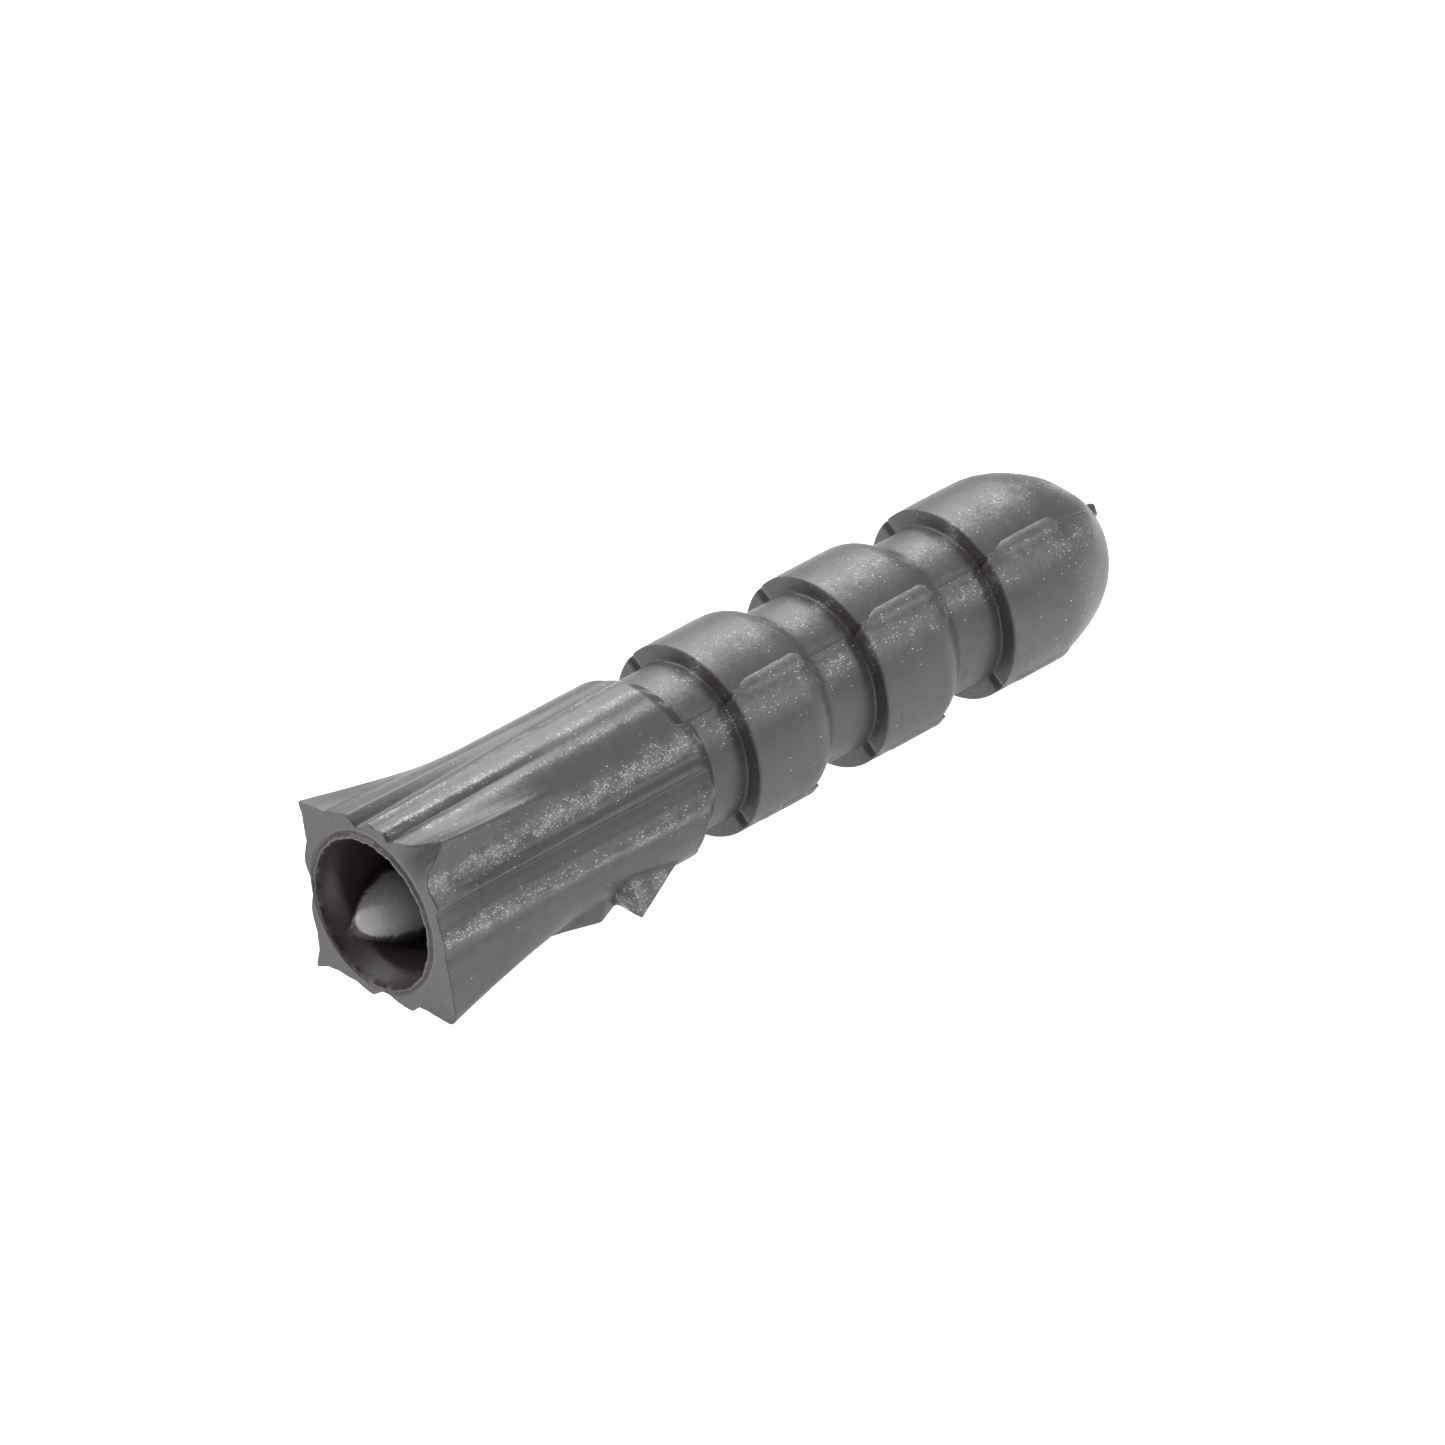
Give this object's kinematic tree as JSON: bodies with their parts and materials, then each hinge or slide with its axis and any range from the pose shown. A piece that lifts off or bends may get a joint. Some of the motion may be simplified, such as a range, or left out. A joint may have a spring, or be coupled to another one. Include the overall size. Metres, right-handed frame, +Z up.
{
  "type": "wall anchor",
  "caption": "Plastic expansion wall anchor: a fluted collar with crush fins, and ringed legs that spread in the hole when a screw is driven in.",
  "frame": {"origin": "centre of the open mouth, on the axis, where the screw enters", "axes": "+Y along the axis from the mouth to the tip, +Z up through the middle of the top leg, +X through the middle of the right leg; the slits between the legs are on the diagonals"},
  "size_m": [0.01, 0.0481, 0.01],
  "materials": {
    "moulded_plastic": "satin moulded nylon with fine spark-eroded bands"
  },
  "bodies": {
    "collar": {"collar_sleeve": "moulded_plastic", "leg_root_wall": "moulded_plastic", "crush_fin_top_right": "moulded_plastic", "crush_fin_bottom_right": "moulded_plastic", "crush_fin_bottom_left": "moulded_plastic", "crush_fin_top_left": "moulded_plastic", "screw_rib_top_right": "moulded_plastic", "screw_rib_bottom_right": "moulded_plastic", "screw_rib_bottom_left": "moulded_plastic", "screw_rib_top_left": "moulded_plastic", "front_barb": "moulded_plastic", "rear_barb": "moulded_plastic"},
    "leg_top": {"leg_top_core": "moulded_plastic", "leg_top_ring_front": "moulded_plastic", "leg_top_ring_middle": "moulded_plastic", "leg_top_ring_rear": "moulded_plastic", "leg_top_tip": "moulded_plastic", "seam_webs_top_right": "moulded_plastic", "gate_nub": "moulded_plastic"},
    "leg_right": {"leg_right_core": "moulded_plastic", "leg_right_ring_front": "moulded_plastic", "leg_right_ring_middle": "moulded_plastic", "leg_right_ring_rear": "moulded_plastic", "leg_right_tip": "moulded_plastic", "seam_webs_bottom_right": "moulded_plastic"},
    "leg_bottom": {"leg_bottom_core": "moulded_plastic", "leg_bottom_ring_front": "moulded_plastic", "leg_bottom_ring_middle": "moulded_plastic", "leg_bottom_ring_rear": "moulded_plastic", "leg_bottom_tip": "moulded_plastic", "seam_webs_bottom_left": "moulded_plastic"},
    "leg_left": {"leg_left_core": "moulded_plastic", "leg_left_ring_front": "moulded_plastic", "leg_left_ring_middle": "moulded_plastic", "leg_left_ring_rear": "moulded_plastic", "leg_left_tip": "moulded_plastic", "seam_webs_top_left": "moulded_plastic"}
  },
  "joints": [
    {"name": "leg_top_spread", "type": "hinge", "parent": "collar", "child": "leg_top", "pos_m": [0, 0.0179, 0.00412], "axis": [1, 0, 0], "range_deg": [0, 6], "stiffness_Nm_per_rad": 0.01},
    {"name": "leg_right_spread", "type": "hinge", "parent": "collar", "child": "leg_right", "pos_m": [0.00412, 0.0179, 0], "axis": [0, 0, -1], "range_deg": [0, 6], "stiffness_Nm_per_rad": 0.01},
    {"name": "leg_bottom_spread", "type": "hinge", "parent": "collar", "child": "leg_bottom", "pos_m": [0, 0.0179, -0.00412], "axis": [-1, 0, 0], "range_deg": [0, 6], "stiffness_Nm_per_rad": 0.01},
    {"name": "leg_left_spread", "type": "hinge", "parent": "collar", "child": "leg_left", "pos_m": [-0.00412, 0.0179, 0], "axis": [0, 0, 1], "range_deg": [0, 6], "stiffness_Nm_per_rad": 0.01}
  ],
  "couplings": [
    {"joint": "leg_right_spread", "follows": "leg_top_spread", "ratio": 1},
    {"joint": "leg_bottom_spread", "follows": "leg_top_spread", "ratio": 1},
    {"joint": "leg_left_spread", "follows": "leg_top_spread", "ratio": 1}
  ]
}
